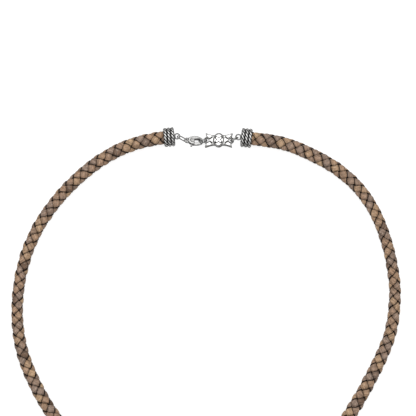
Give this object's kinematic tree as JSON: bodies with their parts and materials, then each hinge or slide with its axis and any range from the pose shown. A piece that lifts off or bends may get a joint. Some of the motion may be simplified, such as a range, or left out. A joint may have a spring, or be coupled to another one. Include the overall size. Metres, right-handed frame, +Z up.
{
  "type": "leather cord necklace",
  "caption": "Round braided leather cord necklace lying closed, with ribbed cast cord caps, an oval link, a lobster claw and a cast clasp plate.",
  "frame": {"origin": "bottom centre of the bounding box, on the surface the necklace lies on", "axes": "+X across the loop to the picture's right, +Y across the loop to the clasp, +Z up from the surface"},
  "size_m": [0.1725, 0.1628, 0.0086],
  "materials": {
    "leather": "antique brown, waxed, braided",
    "silver": "cast silver, oxidised in its recesses and polished on its high spots"
  },
  "bodies": {
    "root": {"leather_strand_1": "leather", "leather_strand_2": "leather", "leather_strand_3": "leather", "leather_strand_4": "leather", "leather_strand_5": "leather", "leather_strand_6": "leather", "left_cord_cap": "silver", "right_cord_cap": "silver", "oval_link": "silver", "claw_body": "silver", "left_jump_ring": "silver", "clasp_plate": "silver", "right_jump_ring": "silver"},
    "lever": {"claw_lever": "silver"}
  },
  "joints": [
    {"name": "lever_pivot", "type": "hinge", "parent": "root", "child": "lever", "pos_m": [-0.00558, 0.07414, 0.00304], "axis": [0.1018, 0.4531, 0.8857], "range_deg": [0, 11], "stiffness_Nm_per_rad": 0.001}
  ]
}
